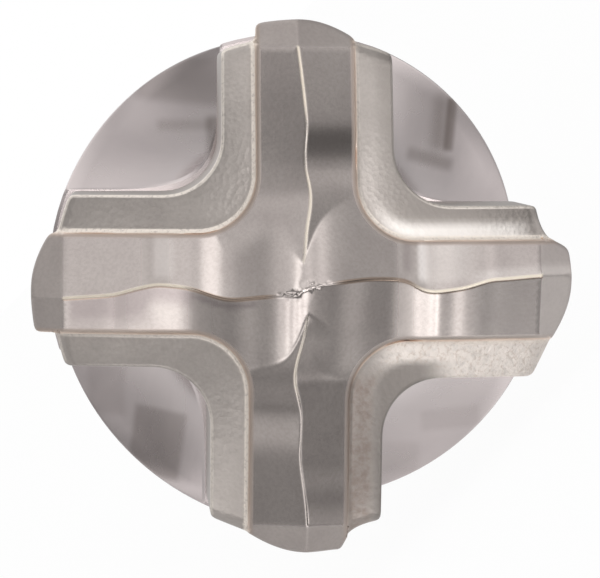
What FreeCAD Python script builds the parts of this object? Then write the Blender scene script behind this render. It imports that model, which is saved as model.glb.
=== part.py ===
import math
import os

import FreeCAD
import Part
import Sketcher
from FreeCAD import Placement, Rotation, Vector

# Hammer drill bit: a four-armed sintered tip on a fluted steel body with a grooved quick-change shank.
# It is drawn standing on its shank, with Z along its axis and the arms of the tip along X and Y.
# Z is zero where the shank leaves its holder. The two finished pieces are then laid on their side.

os.makedirs("parts", exist_ok=True)
doc = FreeCAD.newDocument("hammer_drill_bit")
sheet = doc.addObject("Spreadsheet::Sheet", "sizes")

# Driving sizes, in millimetres unless the note says otherwise
SIZES = [
    ("reach", 120.0, "from the holder's mouth to the point"),
    ("head_height", 13.4, "sintered tip, from its seat on the steel to the point"),
    ("main_reach", 8.0, "radius that the two main arms cut"),
    ("side_reach", 7.88, "radius that the two side arms cut"),
    ("end_relief", 0.55, "how far an arm's end falls back at its trailing side"),
    ("shoulder_radius", 7.38, "radius of the lower shoulders"),
    ("lead_half", 2.37, "arm's half width at the shoulder, leading side"),
    ("trail_half", 2.7, "arm's half width at the shoulder, trailing side"),
    ("arm_fillet", 1.7, "hollow corner between two arms"),
    ("crown_lead", 1.36, "raised crown's half width, leading side"),
    ("crown_trail", 1.57, "raised crown's half width, trailing side"),
    ("crown_fillet", 1.75, "hollow corner of the crown"),
    ("roof_slope", 0.6, "fall of a flank over its width, as a ratio"),
    ("facet_start", 7.06, "radius where an arm's end facet begins"),
    ("facet_slope", 0.9, "fall of the end facet, as a ratio"),
    ("dome_radius", 14.0, "ball that shapes the tops of the shoulders"),
    ("dome_depth", 2.4, "from the point down to the crest of that ball"),
    ("heel_depth", 6.5, "from the point down to where an arm's end has tapered into the shoulders"),
    ("heel_taper", 2.0, "length of that taper"),
    ("rim_bevel", 0.25, "bevel at the shoulders' outer ends"),
    ("body_radius", 7.6, "fluted steel body"),
    ("flute_lead", 60.0, "one full turn of a flute"),
    ("flute_end", 29.0, "height where the flutes have run out"),
    ("runout", 13.0, "length over which a flute rises to the surface"),
    ("core_radius", 3.9, "front end of the run-out, inside the fluted core"),
    ("neck_length", 16.0, "plain neck in front of the holder"),
    ("shank_radius", 5.0, "shank"),
    ("insertion", 40.0, "length of shank inside the holder"),
    ("end_chamfer", 1.5, "chamfer at the shank's rear end"),
    ("slot_width", 3.2, "open drive slot"),
    ("slot_floor", 3.15, "from the axis to the floor of a drive slot"),
    ("slot_length", 20.0, "level floor of a drive slot, from the shank's end"),
    ("slot_cutter", 12.0, "radius that ends a drive slot"),
    ("groove_radius", 2.7, "round bottom of a locking groove"),
    ("groove_floor", 3.55, "from the axis to the floor of a locking groove"),
    ("groove_start", 12.0, "rear end of a locking groove, from the shank's end"),
    ("groove_length", 16.5, "locking groove, end to end"),
]
for row, (name, value, note) in enumerate(SIZES, start=1):
    sheet.set(f"A{row}", note)
    sheet.set(f"B{row}", str(value))
    sheet.setAlias(f"B{row}", name)
doc.recompute()


def size(name):
    return float(sheet.get(name))


def feature(name, shape):
    made = doc.addObject("Part::Feature", name)
    made.Shape = shape
    return made


def combine(kind, name, shapes):
    made = doc.addObject(kind, name)
    made.Shapes = shapes
    return made


def cut(name, base, tool):
    made = doc.addObject("Part::Cut", name)
    made.Base = base
    made.Tool = tool
    return made


def solid_of(kind, name, **bindings):
    made = doc.addObject(kind, name)
    for prop, expression in bindings.items():
        made.setExpression(prop.replace("__", "."), expression)
    return made


# The laid-down frame: the point looks along +X, and straight down lies midway between two arms
LAID = Rotation(Vector(0, 1, -1), Vector(0, 1, 1), Vector(1, 0, 0), "ZXY")
QUARTERS = range(4)
CLEAR = 1.0  # how far a cutting shape stands out beyond what it cuts


# Outline of four arms, met by hollow corners: each arm has a leading and a trailing half width
def turned(point, angle):
    return Rotation(Vector(0, 0, 1), angle).multVec(Vector(point[0], point[1], 0))


def four_arms(lead, trail, fillet, ends, start_angle=0.0):
    edges = []
    for quarter in QUARTERS:
        angle = start_angle + 90 * quarter
        arm_end = [[turned(p, angle) for p in arc] for arc in ends[quarter % 2]]
        following = turned(ends[(quarter + 1) % 2][0][0], angle + 90)
        centre = (trail + fillet, lead + fillet)
        inmost = fillet * math.sqrt(0.5)
        hollow = [turned(p, angle) for p in ((centre[0], lead), (centre[0] - inmost, centre[1] - inmost),
                                             (trail, centre[1]))]
        edges += [Part.Arc(*arc).toShape() for arc in arm_end]
        edges += [Part.makeLine(arm_end[-1][-1], hollow[0]), Part.Arc(*hollow).toShape(),
                  Part.makeLine(hollow[-1], following)]
    return Part.Wire(edges)


RELIEF_MIDWAY = 0.28  # share of the relief that an arm's end has halfway to its trailing corner


def round_end(radius, lead, trail):
    return [[(math.sqrt(radius ** 2 - trail ** 2), -trail), (radius, 0),
             (math.sqrt(radius ** 2 - lead ** 2), lead)]]


def relieved_end(radius, lead, trail, relief):
    chord = math.sqrt(radius ** 2 - lead ** 2)
    middle = math.sqrt(radius ** 2 - lead ** 2 / 4)
    return [[(radius - relief, -trail), (radius - RELIEF_MIDWAY * relief, -trail / 2), (radius, 0)],
            [(radius, 0), (middle, lead / 2), (chord, lead)]]


def shoulder_outline(radius, start_angle=0.0):
    lead, trail = size("lead_half"), size("trail_half")
    end = round_end(radius, lead, trail)
    return four_arms(lead, trail, size("arm_fillet"), [end, end], start_angle)


def crown_outline():
    lead, trail, relief = size("crown_lead"), size("crown_trail"), size("end_relief")
    ends = [relieved_end(size(reach), lead, trail, relief) for reach in ("main_reach", "side_reach")]
    return four_arms(lead, trail, size("crown_fillet"), ends)


# Sintered tip: the raised crown, whose waved flanks meet in the cutting edges, on lower domed shoulders
seat = size("reach") - size("head_height")
point = size("reach")

# Each edge: distance from the axis, fall below the point, and how far it swings to the leading side
MAIN_EDGE = [(0.0, 0.0, 0.0), (0.9, 0.36, 0.17), (1.8, 0.74, 0.34), (2.6, 1.2, 0.24),
             (3.5, 1.65, 0.0), (4.3, 1.95, -0.09), (5.1, 2.22, 0.09), (5.9, 2.52, 0.28), (7.06, 2.99, 0.33)]
SIDE_EDGE = [(0.0, 0.3, 0.0), (0.85, 0.53, 0.1), (1.76, 0.98, -0.1), (2.65, 1.43, -0.25),
             (3.5, 1.72, -0.08), (4.4, 1.98, -0.08), (5.5, 2.36, -0.03), (7.06, 2.94, 0.14)]


def flank_cutter(edge, slope):
    """Everything above one waved flank, which falls towards +Y from its edge along X."""
    def corner(x, height):
        return Vector(x, 0, height)

    stretch = size("facet_start") / edge[-1][0]
    leading = [(u * stretch, slope * swing - fall) for u, fall, swing in edge]
    trailing = [(-u * stretch, -slope * swing - fall) for u, fall, swing in reversed(edge[1:])]
    wave = [corner(u, height) for u, height in trailing + leading]
    curve = Part.BSplineCurve()
    curve.interpolate(wave)
    reach = size("main_reach") + CLEAR
    drop = (reach - size("facet_start")) * size("facet_slope")
    sky = slope * reach + size("head_height")
    frame = [wave[-1], corner(reach, wave[-1].z - drop), corner(reach, sky), corner(-reach, sky),
             corner(-reach, wave[0].z - drop), wave[0]]
    face = Part.Face(Part.Wire([curve.toShape(), *Part.makePolygon(frame).Edges]))
    back = size("crown_trail") + CLEAR
    face.translate(Vector(0, -back, point + slope * back))
    return face.extrude(Vector(0, reach + back, -slope * (reach + back)))


def roof(name, edge, quarter_turn):
    axis = Vector(0, 0, 1)
    flank = flank_cutter(edge, size("roof_slope"))
    flank.rotate(Vector(0, 0, 0), axis, quarter_turn)
    twin = flank.copy()
    twin.rotate(Vector(0, 0, 0), axis, 180)
    block = Part.Face(crown_outline()).extrude(Vector(0, 0, size("head_height") + CLEAR))
    block.translate(Vector(0, 0, seat))
    return cut(name, cut(name + "_one_flank", feature(name + "_block", block), feature(name + "_flank", flank)),
               feature(name + "_twin", twin))


main_roof = roof("main_roof", MAIN_EDGE, 0)
side_roof = roof("side_roof", SIDE_EDGE, 90)
heel_spread = "(sizes.main_reach - sizes.shoulder_radius) * sizes.heel_depth / sizes.heel_taper"
heel = solid_of("Part::Cone", "heel", Radius1="sizes.shoulder_radius",
                Radius2=f"sizes.shoulder_radius + {heel_spread}", Height="sizes.heel_depth",
                Placement__Base__z="sizes.reach - sizes.heel_depth")
crown = combine("Part::MultiCommon", "crown",
                [combine("Part::MultiFuse", "roofs", [main_roof, side_roof]), heel])

shoulder_block = Part.Face(shoulder_outline(size("shoulder_radius"))).extrude(Vector(0, 0, size("head_height")))
shoulder_block.translate(Vector(0, 0, seat))
dome = solid_of("Part::Sphere", "dome", Radius="sizes.dome_radius",
                Placement__Base__z="sizes.reach - sizes.dome_depth - sizes.dome_radius")
rim_drop = size("dome_depth") + size("dome_radius") - math.sqrt(
    size("dome_radius") ** 2 - (size("shoulder_radius") - size("rim_bevel")) ** 2)
BEVEL_RATIO = 0.7
bevel = doc.addObject("Part::Cone", "bevel")
bevel.Height = size("head_height")
bevel.Radius1 = size("shoulder_radius") - size("rim_bevel") + (size("head_height") - rim_drop) * BEVEL_RATIO
bevel.Radius2 = size("shoulder_radius") - size("rim_bevel") - rim_drop * BEVEL_RATIO
bevel.Placement = Placement(Vector(0, 0, seat), Rotation())
shoulders = combine("Part::MultiCommon", "shoulders", [feature("shoulder_block", shoulder_block), dome, bevel])
carbide_head = combine("Part::MultiFuse", "carbide_head", [shoulders, crown])

# Steel body, turned part: shank, neck, cone and the core that the flutes run out on
turned_body = doc.addObject("PartDesign::Body", "turned_body")


def sketch_on(role, name):
    drawn = turned_body.newObject("Sketcher::SketchObject", name)
    plane = next(o for o in turned_body.Origin.OriginFeatures if o.Role == role)
    drawn.AttachmentSupport = (plane, [""])
    drawn.MapMode = "FlatFace"
    return drawn


def closed_outline(drawn, points, arcs=None):
    """Sides through the points and back to the first. An entry in arcs is a side's middle point."""
    joined = []
    for side, (first, last) in enumerate(zip(points, points[1:] + points[:1])):
        first, last = Vector(*first, 0), Vector(*last, 0)
        if side in (arcs or {}):
            drawn.addGeometry(Part.Arc(first, Vector(*arcs[side], 0), last))
        else:
            drawn.addGeometry(Part.LineSegment(first, last))
        forward = drawn.getPoint(side, 1).distanceToPoint(first) < 1e-6
        joined.append((1, 2) if forward else (2, 1))
    for side in range(len(points)):
        after = (side + 1) % len(points)
        drawn.addConstraint(Sketcher.Constraint("Coincident", side, joined[side][1], after, joined[after][0]))
    return joined


def hold(drawn, side, position, across=None, along=None):
    """Ties a point to its place: across the axis and along it."""
    place = drawn.getPoint(side, position)
    for kind, drawn_at, expression in (("DistanceX", place.x, across), ("DistanceY", place.y, along)):
        if expression is not None:
            index = drawn.addConstraint(Sketcher.Constraint(kind, -1, 1, side, position, drawn_at))
            drawn.setExpression(f"Constraints[{index}]", expression)


CENTRE = 3
CONE_RISE = 1.4
rear, mouth = -size("insertion"), size("neck_length")
shank_r, body_r, core_r = size("shank_radius"), size("body_radius"), size("core_radius")
chamfer = size("end_chamfer")
cone_top = mouth + CONE_RISE * (body_r - shank_r)
fade = size("flute_end") + size("runout")
stations = [
    (0, rear, None, "-sizes.insertion"),
    (shank_r - chamfer, rear, "sizes.shank_radius - sizes.end_chamfer", "-sizes.insertion"),
    (shank_r, rear + chamfer, "sizes.shank_radius", "sizes.end_chamfer - sizes.insertion"),
    (shank_r, mouth, "sizes.shank_radius", "sizes.neck_length"),
    (body_r, cone_top, "sizes.body_radius",
     f"sizes.neck_length + {CONE_RISE} * (sizes.body_radius - sizes.shank_radius)"),
    (body_r, size("flute_end"), "sizes.body_radius", "sizes.flute_end"),
    (core_r, fade, "sizes.core_radius", "sizes.flute_end + sizes.runout"),
    (0, fade, None, "sizes.flute_end + sizes.runout"),
]
FLARE = 5
rise = body_r - core_r
flare_radius = (rise ** 2 + size("runout") ** 2) / (2 * rise)
half_angle = math.asin(size("runout") / flare_radius) / 2
flare_middle = (core_r + flare_radius * (1 - math.cos(half_angle)), fade - flare_radius * math.sin(half_angle))
profile = sketch_on("XZ_Plane", "turned_profile")
joined = closed_outline(profile, [station[:2] for station in stations], {FLARE: flare_middle})
for side, (_, _, across, along) in enumerate(stations):
    hold(profile, side, joined[side][0], across, along)
hold(profile, FLARE, CENTRE, along="sizes.flute_end + sizes.runout")
for side in (0, len(stations) - 1):
    profile.addConstraint(Sketcher.Constraint("PointOnObject", side, 1, -2))
turning = turned_body.newObject("PartDesign::Revolution", "turning")
turning.Profile = profile
turning.ReferenceAxis = (profile, ["V_Axis"])
turning.Angle = 360
turned_body.Tip = turning
doc.recompute()

# Two open drive slots in the shank, each ended by the round of its cutter
floor, cutter = size("slot_floor"), size("slot_cutter")
level_end = rear + size("slot_length")
outside = shank_r + CLEAR
climb = math.acos(1 - (outside - floor) / cutter)
slot_end = level_end + cutter * math.sin(climb)
slot_middle = (floor + cutter * (1 - math.cos(climb / 2)), level_end + cutter * math.sin(climb / 2))
slot_view = sketch_on("XZ_Plane", "slot_profile")
joined = closed_outline(slot_view, [(floor, rear - CLEAR), (floor, level_end), (outside, slot_end),
                                    (outside, rear - CLEAR)], {1: slot_middle})
hold(slot_view, 0, 1, "sizes.slot_floor", f"-sizes.insertion - {CLEAR}")
hold(slot_view, 0, 2, "sizes.slot_floor", "sizes.slot_length - sizes.insertion")
hold(slot_view, 1, CENTRE, "sizes.slot_floor + sizes.slot_cutter", "sizes.slot_length - sizes.insertion")
hold(slot_view, 2, 1, f"sizes.shank_radius + {CLEAR}")
hold(slot_view, 3, 1, f"sizes.shank_radius + {CLEAR}", f"-sizes.insertion - {CLEAR}")
slot = turned_body.newObject("PartDesign::Pocket", "drive_slot")
slot.Profile = slot_view
slot.Midplane = True
slot.setExpression("Length", "sizes.slot_width")
turned_body.Tip = slot
doc.recompute()
slots = turned_body.newObject("PartDesign::PolarPattern", "drive_slots")
slots.Originals = [slot]
slots.Axis = (profile, ["V_Axis"])
slots.Angle = 360
slots.Occurrences = 2
turned_body.Tip = slots
doc.recompute()

# Two closed locking grooves, a quarter turn from the slots, each with a round floor and round ends
grooves = []
for side, facing in (("left", "-"), ("right", "")):
    middle = f"{facing}(sizes.groove_floor + sizes.groove_radius)"
    low = "sizes.groove_start + sizes.groove_radius - sizes.insertion"
    high = "sizes.groove_start + sizes.groove_length - sizes.groove_radius - sizes.insertion"
    grooves.append(solid_of("Part::Cylinder", f"{side}_groove", Radius="sizes.groove_radius",
                            Height="sizes.groove_length - 2 * sizes.groove_radius",
                            Placement__Base__y=middle, Placement__Base__z=low))
    for end, height in (("rear", low), ("front", high)):
        grooves.append(solid_of("Part::Sphere", f"{side}_groove_{end}", Radius="sizes.groove_radius",
                                Placement__Base__y=middle, Placement__Base__z=height))
grooved = cut("grooved_shank", turned_body, combine("Part::MultiFuse", "locking_grooves", grooves))

# Fluted part: four lands with a smooth hollow between them, turned along a right-hand helix up to the seat.
# The arms are drawn a little too long and the lands come from a plain cylinder.
def fluted_section(radius, start_angle):
    lead, trail = size("lead_half"), size("trail_half")
    edges = []
    for quarter in QUARTERS:
        def at(x, y):
            return turned((x, y), start_angle + 90 * quarter)
        edges.append(Part.makeLine(at(radius, -trail), at(radius, lead)))
        hollow = Part.BezierCurve()
        hollow.setPoles([at(radius, lead), at(HOLLOW_PULL * trail, lead),
                         at(trail, HOLLOW_PULL * lead), at(trail, radius)])
        edges.append(hollow.toShape())
    return Part.Wire(edges)


HOLLOW_PULL = 0.9
fluted_length = seat - size("flute_end")
helix = Part.makeHelix(size("flute_lead"), fluted_length, body_r)
section = fluted_section(body_r + CLEAR, -360 * fluted_length / size("flute_lead"))
twisted = Part.Wire(helix.Edges).makePipeShell([section], True, True)
twisted.translate(Vector(0, 0, size("flute_end")))
lands = solid_of("Part::Cylinder", "lands", Radius="sizes.body_radius",
                 Height="sizes.reach - sizes.head_height - sizes.flute_end", Placement__Base__z="sizes.flute_end")
fluted_bar = combine("Part::MultiCommon", "fluted_bar", [feature("twisted_bar", twisted), lands])
drill_body = combine("Part::MultiFuse", "drill_body", [grooved, fluted_bar])

# Both pieces are laid down and written out
for piece in (carbide_head, drill_body):
    piece.Placement = Placement(Vector(0, 0, 0), LAID)
doc.recompute()
for made in doc.Objects:
    state = set(made.State) & {"Invalid", "Error"}
    if state:
        raise SystemExit(f"{made.Name} did not build: {state}")
    shape = getattr(made, "Shape", None)
    if shape is not None and made.isDerivedFrom("Part::Feature") and (shape.isNull() or not shape.isValid()):
        raise SystemExit(f"{made.Name} has no sound shape")
for piece in (carbide_head, drill_body):
    piece.Label = piece.Name
    piece.Shape.exportStep(f"parts/{piece.Label}.step")
    print(piece.Label, len(piece.Shape.Solids), round(piece.Shape.Volume, 1))
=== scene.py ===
import math

import bpy
import numpy as np
from mathutils import Matrix, Vector
from mathutils.geometry import delaunay_2d_cdt


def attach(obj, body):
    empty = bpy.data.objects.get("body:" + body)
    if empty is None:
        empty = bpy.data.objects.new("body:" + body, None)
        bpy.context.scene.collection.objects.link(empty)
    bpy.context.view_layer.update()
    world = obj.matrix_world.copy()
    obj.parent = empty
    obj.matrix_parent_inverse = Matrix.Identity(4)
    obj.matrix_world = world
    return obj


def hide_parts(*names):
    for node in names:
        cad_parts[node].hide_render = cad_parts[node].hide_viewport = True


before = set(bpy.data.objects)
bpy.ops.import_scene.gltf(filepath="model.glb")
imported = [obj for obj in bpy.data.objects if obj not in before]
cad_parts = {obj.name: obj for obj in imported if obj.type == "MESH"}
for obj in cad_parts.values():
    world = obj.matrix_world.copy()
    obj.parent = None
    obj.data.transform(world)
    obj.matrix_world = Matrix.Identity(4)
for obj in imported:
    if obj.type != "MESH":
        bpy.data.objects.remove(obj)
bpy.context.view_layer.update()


# Sintered tip, form. One pressed and sintered piece of hard metal: a raised crown whose waved flanks meet
# in four cutting edges, on lower domed shoulders. Its surface is worked out point by point from the part's
# own sizes, because the hand tools can't give the waved flanks and their honed edges.
MM = 0.001
REACH, HEAD_HEIGHT = 120.0, 13.4
MAIN_REACH, SIDE_REACH, END_RELIEF = 8.0, 7.88, 0.55
SHOULDER_RADIUS, LEAD_HALF, TRAIL_HALF, ARM_FILLET = 7.38, 2.37, 2.7, 1.7
CROWN_LEAD, CROWN_TRAIL, CROWN_FILLET = 1.36, 1.57, 1.75
ROOF_SLOPE, FACET_START, FACET_SLOPE = 0.64, 7.06, 0.9
DOME_RADIUS, DOME_DEPTH, RIM_BEVEL, BEVEL_RATIO = 14.0, 2.4, 0.25, 0.7
HEEL_DEPTH, HEEL_TAPER = 6.5, 2.0
# Distances from the middle of an edge, in millimetres, where the height of a flank is given
STATIONS = [0.45, 0.9, 1.35, 1.8, 2.25, 2.7, 3.1, 3.5, 3.9, 4.3, 4.7, 5.1, 5.5, 5.9, 6.4, 7.06]
# Heights of the four flanks at the cutting edges' mean line, from one end of an edge to the other. A program
# fitted them, together with the soft lights below, to how bright the photo shows each stretch.
UPPER_FLANK = [
    -3.172, -2.858, -2.614, -2.42, -2.226, -2.033, -1.87, -1.79, -1.735, -1.668, -1.546,
    -1.359, -1.076, -0.756, -0.44, -0.186, -0.018, -0.034, -0.215, -0.451, -0.707, -0.972,
    -1.242, -1.502, -1.821, -1.933, -2.038, -2.095, -2.111, -2.157, -2.297, -2.486, -2.728,
]
LOWER_FLANK = [
    -2.737, -2.484, -2.29, -2.162, -2.104, -2.045, -1.971, -1.874, -1.759, -1.571, -1.28,
    -0.961, -0.69, -0.439, -0.181, 0.011, -0.002, -0.2, -0.449, -0.745, -1.053, -1.324,
    -1.564, -1.699, -1.743, -1.779, -1.93, -2.064, -2.219, -2.41, -2.597, -2.832, -3.138,
]
LEFT_FLANK = [
    -3.054, -2.738, -2.507, -2.338, -2.173, -2.031, -1.925, -1.822, -1.68, -1.456, -1.235,
    -1.047, -0.901, -0.751, -0.595, -0.448, -0.341, -0.375, -0.547, -0.769, -1.008, -1.282,
    -1.521, -1.674, -1.808, -1.929, -2.043, -2.155, -2.268, -2.382, -2.498, -2.65, -2.855,
]
RIGHT_FLANK = [
    -2.867, -2.623, -2.483, -2.389, -2.283, -2.157, -2.034, -1.92, -1.807, -1.692, -1.569,
    -1.345, -1.063, -0.765, -0.517, -0.36, -0.333, -0.431, -0.568, -0.729, -0.904, -1.079,
    -1.279, -1.492, -1.727, -1.867, -1.946, -2.027, -2.166, -2.326, -2.495, -2.717, -3.023,
]
# The end of two arms, whose crown runs out into the shoulder instead of standing clear of it
RUN_OUT = [(7.88, 1.13), (7.67, 1.25), (7.42, 1.36), (7.23, 1.58), (7.10, 1.85), (7.01, 2.15)]
# Small roundings, and how the long edge is blunted over its middle
HONE, VALLEY, BLUNT_HALF = 0.045, 0.035, 0.7
CROWN_ROUND, CROWN_FOOT, CROWN_WALL, RIM_ROUND, RIM_EASE = 0.10, 0.10, 0.02, 0.1, 0.12
# How an arm's end falls back towards its trailing side
RELIEF_POWER, RELIEF_STEPS = 1.84, 6
# Steps of the mesh
GRID, ALONG_EDGE, ALONG_RIM, FINE = 0.115, 0.07, 0.08, 0.02


def laid_down(points):
    """Local millimetres, Z towards the point, to the row's frame with the bit on its side."""
    p, q, z = np.asarray(points, float).T
    return np.column_stack((z, (p + q) / math.sqrt(2), (q - p) / math.sqrt(2))) * MM


def smooth_through(stations, heights):
    """A natural cubic curve through the stations, as a function."""
    x, y = np.asarray(stations), np.asarray(heights)
    step = np.diff(x)
    count = len(x)
    left, right = np.eye(count), np.zeros(count)
    for i in range(1, count - 1):
        left[i, i - 1:i + 2] = step[i - 1], 2 * (step[i - 1] + step[i]), step[i]
        right[i] = 6 * ((y[i + 1] - y[i]) / step[i] - (y[i] - y[i - 1]) / step[i - 1])
    bend = np.linalg.solve(left, right)

    def height(u):
        i = np.clip(np.searchsorted(x, u) - 1, 0, count - 2)
        a, b, h = x[i + 1] - u, u - x[i], step[i]
        return (bend[i] * a ** 3 + bend[i + 1] * b ** 3) / (6 * h) \
            + (y[i] / h - bend[i] * h / 6) * a + (y[i + 1] / h - bend[i + 1] * h / 6) * b
    return height


def flank_wave(heights):
    """A flank's height along its cutting edge, with the end facets beyond the last station."""
    inner = smooth_through([*(-u for u in reversed(STATIONS)), 0, *STATIONS], heights)

    def height(u):
        beyond = np.maximum(np.abs(u) - FACET_START, 0)
        return inner(np.clip(u, -FACET_START, FACET_START)) - FACET_SLOPE * beyond
    return height


def soft_min(a, b, width):
    return np.minimum(a, b) - np.maximum(width - np.abs(a - b), 0) ** 2 / (4 * width)


upper_wave, lower_wave = flank_wave(UPPER_FLANK), flank_wave(LOWER_FLANK)
left_wave, right_wave = flank_wave(LEFT_FLANK), flank_wave(RIGHT_FLANK)


def roofs(p, q):
    """The pairs of flanks that meet in the long edge and in the side edges."""
    rise_p, rise_q = ROOF_SLOPE * p, ROOF_SLOPE * q
    return (upper_wave(p) - rise_q, lower_wave(p) + rise_q), (left_wave(q) + rise_p, right_wave(q) - rise_p)


def main_edge(p):
    return (upper_wave(p) - lower_wave(p)) / (2 * ROOF_SLOPE)


def side_edge(q):
    return (right_wave(q) - left_wave(q)) / (2 * ROOF_SLOPE)


def roof(p, q):
    hone = 2 * ROOF_SLOPE * HONE
    main, side = roofs(p, q)
    return -soft_min(-soft_min(*main, hone), -soft_min(*side, hone), VALLEY)


def shoulders(p, q):
    r = np.hypot(p, q)
    inner = SHOULDER_RADIUS - RIM_BEVEL
    dome = np.sqrt(DOME_RADIUS ** 2 - r ** 2) - DOME_DEPTH - DOME_RADIUS
    rim_drop = math.sqrt(DOME_RADIUS ** 2 - inner ** 2) - DOME_DEPTH - DOME_RADIUS
    return np.minimum(dome, rim_drop - (r - inner) / BEVEL_RATIO)


def quarter_turned(points, quarter):
    p, q = np.asarray(points, float).T
    for _ in range(quarter):
        p, q = -q, p
    return np.column_stack((p, q))


def arc(centre, radius, start, end, count=24):
    angles = np.radians(np.linspace(start, end, count))
    return [(centre[0] + radius * math.cos(a), centre[1] + radius * math.sin(a)) for a in angles]


def even_steps(points, step, closed=True):
    """The same line with evenly spaced points."""
    points = np.asarray(points, float)
    if closed:
        points = np.vstack((points, points[:1]))
    run = np.concatenate(([0], np.cumsum(np.hypot(*np.diff(points, axis=0).T))))
    count = int(round(run[-1] / step))
    at = np.linspace(0, run[-1], count + 1)
    line = np.column_stack([np.interp(at, run, axis) for axis in points.T])
    return line[:-1] if closed else line


def eased(points, spread, step):
    """Rounds the corners of a closed, evenly spaced line."""
    reach = int(3 * spread / step) + 1
    weights = np.exp(-0.5 * (np.arange(-reach, reach + 1) * step / spread) ** 2)
    weights /= weights.sum()
    return sum(w * np.roll(points, -k, axis=0) for k, w in zip(range(-reach, reach + 1), weights))


def outward(points, closed=True):
    if closed:
        way = np.roll(points, -1, axis=0) - np.roll(points, 1, axis=0)
    else:
        way = np.gradient(points, axis=0)
    way /= np.linalg.norm(way, axis=1)[:, None]
    return np.column_stack((way[:, 1], -way[:, 0]))


def shoulder_rim(across):
    return [(math.sqrt(SHOULDER_RADIUS ** 2 - q ** 2), q) for q in across]


def arm_end(reach, run_out):
    """Outline of the end of the arm that points to the right, from its trailing to its leading side."""
    relieved = [(reach - END_RELIEF * (k / RELIEF_STEPS) ** RELIEF_POWER, -CROWN_TRAIL * k / RELIEF_STEPS)
                for k in range(RELIEF_STEPS, 0, -1)]
    led = [(math.sqrt(reach ** 2 - q ** 2), q) for q in np.linspace(0, CROWN_LEAD, 6)]
    if run_out:
        return shoulder_rim([-TRAIL_HALF]) + relieved + led[:-1] + RUN_OUT + shoulder_rim([LEAD_HALF])
    back = shoulder_rim(np.linspace(-TRAIL_HALF, -CROWN_TRAIL, 8))
    front = shoulder_rim(np.linspace(CROWN_LEAD, LEAD_HALF, 8))
    return back + relieved + led + front


rim = []
for quarter in range(4):
    hollow = arc((TRAIL_HALF + ARM_FILLET, LEAD_HALF + ARM_FILLET), ARM_FILLET, 270, 180)
    reach = SIDE_REACH if quarter % 2 else MAIN_REACH
    rim.extend(quarter_turned(arm_end(reach, quarter in (0, 3)) + hollow, quarter))
rim = even_steps(eased(even_steps(rim, FINE), RIM_EASE, FINE), ALONG_RIM)
rim_out = outward(rim)

side_lines = []
for quarter in range(4):
    hollow = arc((CROWN_TRAIL + CROWN_FILLET, CROWN_LEAD + CROWN_FILLET), CROWN_FILLET, 270, 180)
    line = [(9.0, CROWN_LEAD)] + hollow + [(CROWN_TRAIL, 9.0)]
    side_lines.append(even_steps(quarter_turned(line, quarter), ALONG_RIM, closed=False))
side_out = [outward(line, closed=False) for line in side_lines]


def measured(points, samples, normals):
    """Distance to the nearest sample of a line, below zero on the inner side, and the way the line faces."""
    at_once = 2000
    result, facing = np.empty(len(points)), np.empty((len(points), 2))
    for start in range(0, len(points), at_once):
        part = slice(start, start + at_once)
        gap = points[part][:, None] - samples[None]
        nearest = np.argmin((gap ** 2).sum(axis=2), axis=1)
        gap = gap[np.arange(len(nearest)), nearest]
        result[part] = (gap * normals[nearest]).sum(axis=1)
        facing[part] = normals[nearest]
    return result, facing


all_sides, all_side_out = np.vstack(side_lines), np.vstack(side_out)


def from_rim(points):
    return measured(points, rim, rim_out)[0]


def from_side(points):
    return measured(points, all_sides, all_side_out)[0]


def clear_of(points, others, gap):
    """Those of the points that lie farther than the gap from all the others."""
    return points[np.array([np.hypot(*(others - point).T).min() > gap for point in points])]


def offset_rows(half_width, step):
    """A square of evenly scattered points, every second row moved by half a step."""
    across = np.arange(-half_width, half_width, step)
    return np.array([(p + (row % 2) * step / 2, q) for row, q in enumerate(across) for p in across])


# Rows of points follow the rim, the crown's sides and the cutting edges. The rest is an even scatter.
rim_rows = [rim - rim_out * inset for inset in RIM_ROUND * np.array([0.15, 0.4, 0.7, 1.0, 1.6])]
side_steps = [*(-CROWN_ROUND * np.array([1.5, 1.0, 0.7, 0.4, 0.15])), 0.0, CROWN_WALL,
              *(CROWN_WALL + CROWN_FOOT * np.array([0.15, 0.45, 0.75, 1.0, 1.3, 1.8]))]
side_rows = [line + out * step for line, out in zip(side_lines, side_out) for step in side_steps]
edge_rows = []
places = np.arange(-8, 8, ALONG_EDGE)
main_line, side_line = main_edge(places), side_edge(places)
outer = np.abs(places) > BLUNT_HALF
for beside in HONE * np.array([-1.9, -1, -0.66, -0.33, 0, 0.33, 0.66, 1, 1.9]):
    edge_rows.append(np.column_stack((places, main_line + beside)))
    edge_rows.append(np.column_stack((side_line + beside, places))[outer])
facet_row = np.linspace(-1.6, 1.6, 44)
for reach in (FACET_START - 0.04, FACET_START + 0.04):
    for way in (-reach, reach):
        edge_rows.append(np.column_stack((np.full(len(facet_row), way), facet_row)))
        edge_rows.append(np.column_stack((facet_row, np.full(len(facet_row), way))))
edge_rows = np.vstack(edge_rows)
edge_rows = edge_rows[(from_side(edge_rows) < -1.8 * CROWN_ROUND) & (from_rim(edge_rows) < -1.8 * RIM_ROUND)]
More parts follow.
